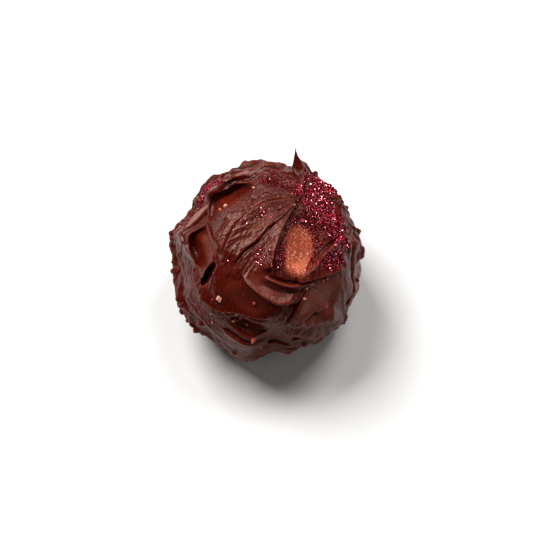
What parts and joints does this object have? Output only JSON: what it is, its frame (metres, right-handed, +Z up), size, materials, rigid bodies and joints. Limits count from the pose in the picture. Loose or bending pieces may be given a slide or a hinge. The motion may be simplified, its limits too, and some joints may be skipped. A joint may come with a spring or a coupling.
{
  "type": "chocolate truffle",
  "caption": "Round dark chocolate truffle with a hand-spread coating: overlapping swept folds, scooped hollows, a layered knobbly side and a tail pulled up to a thin point.",
  "frame": {"origin": "centre of the flat base, under the middle of the ball", "axes": "+Z up out of the flat base, -Y towards the side that the swept face leans to, +X to the right seen from there"},
  "size_m": [0.0348, 0.036, 0.0249],
  "materials": {
    "dark_chocolate": "satin dark chocolate, redder and dusted with berry sugar round the tail",
    "berry_sugar": "small glossy crimson sugar grains",
    "nut_crumb": "matte tan nut and dried fruit crumbs"
  },
  "bodies": {
    "root": {"truffle": "dark_chocolate"}
  },
  "joints": []
}
